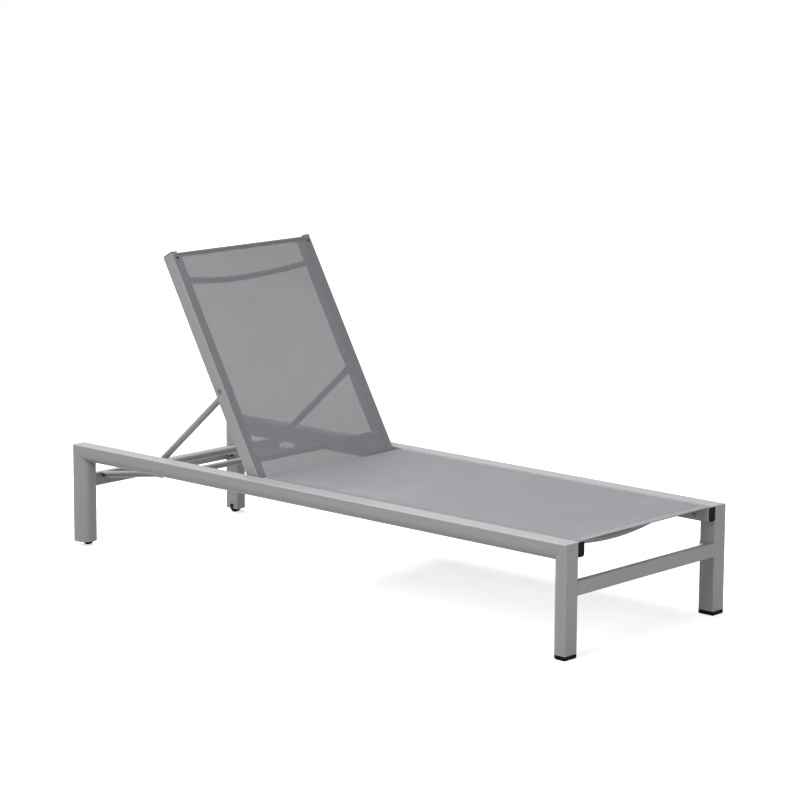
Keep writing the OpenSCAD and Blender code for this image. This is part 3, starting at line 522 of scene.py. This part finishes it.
FOOT_HEM_DEPTH = 0.022
HEAD_HEM_DEPTH = 0.012
LOW_HEM_DEPTH = 0.016
TOP_HEM_DEPTH = 0.005
HEM_T = 0.0006
HEM_GAP = 0.0007
HEM_FROM_SLOT = 0.002
HEM_SHARES = (0.06, 0.25, 0.5, 0.75, 1)  # stations from the fold to the hem's depth
FOLD_OUT = 0.0012       # how far the fold stands out past the cloth's end
FOLD_TURNS = (pi / 3, 0, -pi / 3)
HEM_BELLY = 0.0018
BELLY_EASE = 0.6        # how much of the belly is gone at the hem's full depth
BELLY_GROWTH = 5        # the belly is full where the web has a fifth of its sag
START = (0, 1)          # an end's row, and the way from it into the cloth
END = (1, -1)


def hem(name, sling, end, depth, weave):
    lift = CLOTH_T / 2 + HEM_GAP / 2
    fold = [(share * depth, lift, 0) for share in reversed(HEM_SHARES)]
    fold += [(-FOLD_OUT * cos(turn), lift * sin(turn), (1 - sin(turn)) / 2) for turn in FOLD_TURNS]
    fold += [(share * depth, -lift, 1 - BELLY_EASE * share) for share in HEM_SHARES]
    row, inwards = end
    points = []
    weave_places = []
    for x, z, share in sling.columns:
        if abs(x) >= sling.slot - HEM_FROM_SLOT:
            continue
        line = []
        for reach, height, hang in fold:
            y = sling.edge(row, x) + inwards * reach
            belly = HEM_BELLY * hang * min(1, BELLY_GROWTH * share)
            line.append(sling.place((x, y, z + share * sling.relief(x, y) + height - belly)))
        points.append(line)
        weave_places.append([(x, reach) for reach, _, _ in fold])
    mesh = woven_mesh(name, points, weave_places)
    piece = add_piece(name, mesh, weave, sling.body)
    thicken(piece, HEM_T)
    return piece


seat_hem_foot = hem("seat_hem_foot", seat, START, FOOT_HEM_DEPTH, seat_hem_weave)
seat_hem_head = hem("seat_hem_head", seat, END, HEAD_HEM_DEPTH, seat_hem_weave)
# The backrest's end hems take the yarn with painted shade; the seat's end hems keep the sling's
# own tone.
back_hem_low = hem("back_hem_low", back, START, LOW_HEM_DEPTH, hem_weave_painted_shade)
back_hem_top = hem("back_hem_top", back, END, TOP_HEM_DEPTH, hem_weave_painted_shade)

# Side hems: each cloth is doubled along its cords, and the doubled part ends a little inside the
# rails. Their yarn is darker than the sling's: painted shade of the doubled cloth over the rails.

SIDE_HEM_FROM_SLOT = 0.001
SIDE_HEM_REACH = 0.0085
SIDE_HEM_STEPS = 4
SIDE_HEM_T = 0.0002
SIDE_HEM_DROP = 0.0004


def side_hem(name, sling, side):
    inner, slot = sling.inner, sling.slot
    stations = [slot - SIDE_HEM_FROM_SLOT, (slot + inner) / 2]
    stations += [inner - SIDE_HEM_REACH * i / SIDE_HEM_STEPS for i in range(SIDE_HEM_STEPS + 1)]
    columns = []
    for x in stations:
        share = max(0, 1 - (x / inner) ** 2)
        z = sling.face + CLOTH_LIFT - SIDE_HEM_DROP - sling.sag * share
        columns.append((side * x, z, share))
    mesh = cloth_mesh(name, sling, columns, SIDE_HEM_ROWS)
    piece = add_piece(name, mesh, hem_weave_painted_shade, sling.body)
    thicken(piece, SIDE_HEM_T)
    return piece


SIDES = (("left", -1), ("right", 1))
seat_side_hems = [side_hem("seat_side_hem_" + name, seat, side) for name, side in SIDES]
back_side_hems = [side_hem("back_side_hem_" + name, back, side) for name, side in SIDES]

# Stitches: Geometry Nodes lays one small bow of thread after another along the sewing lines

THREAD_R = 0.00028
STITCH_PITCH = 0.0036
STITCH_L = 0.0027
BOW_STEPS = 4
BOW_RISE = 2            # the bow's height and its sunk ends, in thread radii
BOW_SUNK = -0.9
THREAD_SIDES = 6
SEWING_LIFT = 0.3       # the sewing line above the cloth's face, in thread radii


def stitch_nodes():
    group = bpy.data.node_groups.new("stitches", "GeometryNodeTree")
    for name, kind in (("Lines", "Geometry"), ("Pitch", "Float"), ("Stitch Length", "Float"),
                       ("Thread Radius", "Float"), ("Cloth Normal", "Vector"),
                       ("Thread", "Material")):
        group.interface.new_socket(name, in_out="INPUT", socket_type="NodeSocket" + kind)
    group.interface.new_socket("Stitches", in_out="OUTPUT", socket_type="NodeSocketGeometry")
    link = group.links.new
    given = group.nodes.new("NodeGroupInput").outputs
    result = group.nodes.new("NodeGroupOutput").inputs
    radius = given["Thread Radius"]
    half = math_node(group, "MULTIPLY", given["Stitch Length"], 0.5)

    lines = group.nodes.new("GeometryNodeMeshToCurve")
    link(given["Lines"], lines.inputs["Mesh"])
    steps = group.nodes.new("GeometryNodeResampleCurve")
    steps.mode = "LENGTH"
    link(lines.outputs["Curve"], steps.inputs["Curve"])
    link(given["Pitch"], steps.inputs["Length"])

    def bow_point(x, z):
        node = group.nodes.new("ShaderNodeCombineXYZ")
        feed(group, x, node.inputs["X"])
        feed(group, z, node.inputs["Z"])
        return node.outputs["Vector"]

    bow = group.nodes.new("GeometryNodeCurveQuadraticBezier")
    bow.inputs["Resolution"].default_value = BOW_STEPS
    sunk = math_node(group, "MULTIPLY", radius, BOW_SUNK)
    raised = math_node(group, "MULTIPLY", radius, BOW_RISE)
    link(bow_point(math_node(group, "MULTIPLY", half, -1), sunk), bow.inputs["Start"])
    link(bow_point(0, raised), bow.inputs["Middle"])
    link(bow_point(half, sunk), bow.inputs["End"])
    round_thread = group.nodes.new("GeometryNodeCurvePrimitiveCircle")
    round_thread.inputs["Resolution"].default_value = THREAD_SIDES
    link(radius, round_thread.inputs["Radius"])
    thread_mesh = group.nodes.new("GeometryNodeCurveToMesh")
    link(bow.outputs["Curve"], thread_mesh.inputs["Curve"])
    link(round_thread.outputs["Curve"], thread_mesh.inputs["Profile Curve"])
    thread_mesh.inputs["Fill Caps"].default_value = True

    tangent = group.nodes.new("GeometryNodeInputTangent")
    along = group.nodes.new("FunctionNodeAlignRotationToVector")
    along.axis = "X"
    link(tangent.outputs["Tangent"], along.inputs["Vector"])
    upright = group.nodes.new("FunctionNodeAlignRotationToVector")
    upright.axis = "Z"
    upright.pivot_axis = "X"
    link(along.outputs["Rotation"], upright.inputs["Rotation"])
    link(given["Cloth Normal"], upright.inputs["Vector"])

    placed = group.nodes.new("GeometryNodeInstanceOnPoints")
    link(steps.outputs["Curve"], placed.inputs["Points"])
    link(thread_mesh.outputs["Mesh"], placed.inputs["Instance"])
    link(upright.outputs["Rotation"], placed.inputs["Rotation"])
    real = group.nodes.new("GeometryNodeRealizeInstances")
    link(placed.outputs["Instances"], real.inputs["Geometry"])
    coloured = group.nodes.new("GeometryNodeSetMaterial")
    link(real.outputs["Geometry"], coloured.inputs["Geometry"])
    link(given["Thread"], coloured.inputs["Material"])
    link(coloured.outputs["Geometry"], result["Stitches"])
    return group


stitch_tree = stitch_nodes()


def stitched(name, lines, normal, body):
    verts = [point for line in lines for point in line]
    edges = []
    first = 0
    for line in lines:
        edges += [(first + i, first + i + 1) for i in range(len(line) - 1)]
        first += len(line)
    guide = bpy.data.meshes.new(name + "_lines")
    guide.from_pydata(verts, edges, [])
    piece = bpy.data.objects.new(name, guide)
    scene.collection.objects.link(piece)
    sewing = piece.modifiers.new("stitches", "NODES")
    sewing.node_group = stitch_tree
    sockets = {item.name: item.identifier for item in stitch_tree.interface.items_tree
               if item.in_out == "INPUT"}
    sewing[sockets["Pitch"]] = STITCH_PITCH
    sewing[sockets["Stitch Length"]] = STITCH_L
    sewing[sockets["Thread Radius"]] = THREAD_R
    sewing[sockets["Cloth Normal"]] = tuple(normal)
    sewing[sockets["Thread"]] = thread
    bpy.context.view_layer.update()
    graph = bpy.context.evaluated_depsgraph_get()
    mesh = bpy.data.meshes.new_from_object(piece.evaluated_get(graph))
    piece.modifiers.remove(sewing)
    piece.data = mesh
    bpy.data.meshes.remove(guide)
    for face in mesh.polygons:
        face.use_smooth = True
    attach(piece, body)
    return piece


SEAM_STEPS = 60
SIDE_SEAM_INSET = 0.002
END_SEAM_INSETS = (0.003, 0.009)


def sewing_lines(sling, start, end, first_hem, last_hem):
    """A line along each side hem and two along each deep end hem, on the cloth's face."""
    def on_cloth(x, y):
        share = max(0.0, 1 - (x / sling.inner) ** 2)
        lift = CLOTH_LIFT + CLOTH_T / 2 + THREAD_R * SEWING_LIFT
        z = sling.face + lift - sling.sag * share + share * sling.relief(x, y)
        return sling.place((x, y, z))

    side_x = sling.inner - SIDE_HEM_REACH + SIDE_SEAM_INSET
    seam_l = end - start - first_hem - last_hem
    ys = [start + first_hem + seam_l * i / SEAM_STEPS for i in range(SEAM_STEPS + 1)]
    xs = [sling.inner * (1 - 2 * i / SEAM_STEPS) for i in range(SEAM_STEPS + 1)]
    lines = [[on_cloth(side * side_x, y) for y in ys] for _, side in SIDES]
    for (row, inwards), depth in ((START, first_hem), (END, last_hem)):
        for inset in END_SEAM_INSETS:
            if depth > 2 * inset:
                lines.append([on_cloth(x, sling.edge(row, x) + inwards * (depth - inset))
                              for x in xs])
    return lines


seat_stitches = stitched(
    "seat_stitches",
    sewing_lines(seat, SEAT_START + SEAT_EDGE_BOW, SEAT_END, FOOT_HEM_DEPTH, HEAD_HEM_DEPTH),
    (0, 0, 1), "frame")
back_stitches = stitched(
    "back_stitches",
    sewing_lines(back, BACK_LOW, BACK_TOP - BACK_EDGE_BOW, LOW_HEM_DEPTH, TOP_HEM_DEPTH),
    BACK_PLACE.to_3x3() @ Vector((0, 0, 1)), "backrest")

# Keder cords: round, with softened ends, in the rails' channels

KEDER_R = 0.0029
KEDER_SIDES = 16
TIP_LENGTH = 0.3        # the softened end's length and radius, in cord radii
TIP_RADIUS = 0.6


def keder(name, sling, start, end):
    mesh = bpy.data.meshes.new(name)
    cords = bmesh.new()
    depth = sling.face - CHANNEL_DOWN
    for _, side in SIDES:
        low_end = sling.place((side * sling.slot, start, depth))
        high_end = sling.place((side * sling.slot, end, depth))
        axis = (high_end - low_end).normalized()
        turn = axis.to_track_quat("Z", "Y").to_matrix()
        tip = axis * KEDER_R * TIP_LENGTH
        rings = []
        for centre, radius in ((low_end - tip, KEDER_R * TIP_RADIUS), (low_end, KEDER_R),
                               (high_end, KEDER_R), (high_end + tip, KEDER_R * TIP_RADIUS)):
            rings.append([])
            for i in range(KEDER_SIDES):
                around = 2 * pi * i / KEDER_SIDES
                spoke = Vector((radius * cos(around), radius * sin(around), 0))
                rings[-1].append(cords.verts.new(centre + turn @ spoke))
        for low, high in zip(rings, rings[1:]):
            for i in range(KEDER_SIDES):
                after = (i + 1) % KEDER_SIDES
                face = cords.faces.new((low[i], low[after], high[after], high[i]))
                face.smooth = True
        cords.faces.new(reversed(rings[0]))
        cords.faces.new(rings[-1])
    cords.to_mesh(mesh)
    cords.free()
    return add_piece(name, mesh, cord_plastic, sling.body)


seat_keder = keder("seat_keder", seat, SEAT_START, SEAT_END)
back_keder = keder("back_keder", back, BACK_LOW, BACK_TOP)

# Floor and sky: the rays that light the object find a grey floor and a dim sky; the eye finds
# both white, with the shadow kept on the floor

FLOOR_HALF = 14
FLOOR_GREY = (0.16, 0.16, 0.16)
FLOOR_WHITE = (0.9, 0.9, 0.9)
FLOOR_WHITER = (0.92, 0.92, 0.92)
FLOOR_GLOW = 0.68       # the floor's own light near the object
GLOW_NEAR = 1.2         # out to here it stays so, and from GLOW_FAR on it is 1
GLOW_FAR = 3.2
SKY_LIGHT = 0.135
WHITE = (1, 1, 1)


def seen_directly(tree):
    """1 for the rays of the eye and of reflections, and 0 for those that carry diffuse light."""
    path = tree.nodes.new("ShaderNodeLightPath").outputs
    return math_node(tree, "MAXIMUM", path["Is Camera Ray"],
                     math_node(tree, "MAXIMUM", path["Is Glossy Ray"],
                               path["Is Transmission Ray"]))


def lit_or_seen(tree, lighting, seen, surface_socket):
    mix = tree.nodes.new("ShaderNodeMixShader")
    feed(tree, seen_directly(tree), mix.inputs["Fac"])
    feed(tree, lighting, mix.inputs[1])
    feed(tree, seen, mix.inputs[2])
    feed(tree, mix.outputs["Shader"], surface_socket)


def diffuse(tree, colour):
    shader = tree.nodes.new("ShaderNodeBsdfDiffuse")
    feed(tree, colour, shader.inputs["Color"])
    return shader.outputs["BSDF"]


floor_material, floor_tree, floor_surface = new_material("floor")
floor_coords = object_coords(floor_tree)
floor_tone = mix_colour(floor_tree, noise(floor_tree, floor_coords, scale=2, detail=2),
                        FLOOR_WHITE, FLOOR_WHITER)
floor_reach = floor_tree.nodes.new("ShaderNodeVectorMath")
floor_reach.operation = "LENGTH"
feed(floor_tree, floor_coords, floor_reach.inputs[0])
floor_glow = floor_tree.nodes.new("ShaderNodeEmission")
feed(floor_tree, remap(floor_tree, floor_reach.outputs["Value"], GLOW_NEAR, GLOW_FAR,
                       FLOOR_GLOW, 1.0), floor_glow.inputs["Strength"])
floor_seen = floor_tree.nodes.new("ShaderNodeAddShader")
feed(floor_tree, diffuse(floor_tree, floor_tone), floor_seen.inputs[0])
feed(floor_tree, floor_glow.outputs["Emission"], floor_seen.inputs[1])
lit_or_seen(floor_tree, diffuse(floor_tree, FLOOR_GREY), floor_seen.outputs["Shader"],
            floor_surface)

floor_mesh = bpy.data.meshes.new("floor")
floor_corners = [(x * FLOOR_HALF, y * FLOOR_HALF, 0)
                 for x, y in ((-1, -1), (1, -1), (1, 1), (-1, 1))]
floor_mesh.from_pydata(floor_corners, [], [(0, 1, 2, 3)])
floor_mesh.materials.append(floor_material)
floor = bpy.data.objects.new("floor", floor_mesh)
scene.collection.objects.link(floor)


def white_sky(tree, strength):
    shader = tree.nodes.new("ShaderNodeBackground")
    feed(tree, WHITE, shader.inputs["Color"])
    feed(tree, strength, shader.inputs["Strength"])
    return shader.outputs["Background"]


world = bpy.data.worlds.new("studio")
scene.world = world
world.use_nodes = True
sky = world.node_tree
sky.nodes.clear()
sky_surface = sky.nodes.new("ShaderNodeOutputWorld").inputs["Surface"]
lit_or_seen(sky, white_sky(sky, SKY_LIGHT), white_sky(sky, 1), sky_surface)

# Light

LAMP_AIM = (0, 0, 0.2)


def softbox(name, at, size, watts):
    data = bpy.data.lights.new(name, "AREA")
    data.shape = "RECTANGLE"
    data.size, data.size_y = size
    data.energy = watts
    lamp = bpy.data.objects.new(name, data)
    lamp.location = at
    lamp.rotation_euler = (Vector(LAMP_AIM) - Vector(at)).to_track_quat("-Z", "Y").to_euler()
    scene.collection.objects.link(lamp)


softbox("overhead", at=(-0.1, 5.0, 9.6), size=(6.5, 6.5), watts=1020)
softbox("key", at=(-3.7, -0.6, 3.3), size=(2.5, 2.5), watts=89)
softbox("front", at=(-1.2, -4.1, 1.3), size=(2.5, 2.0), watts=36)

scene.view_settings.view_transform = "Standard"
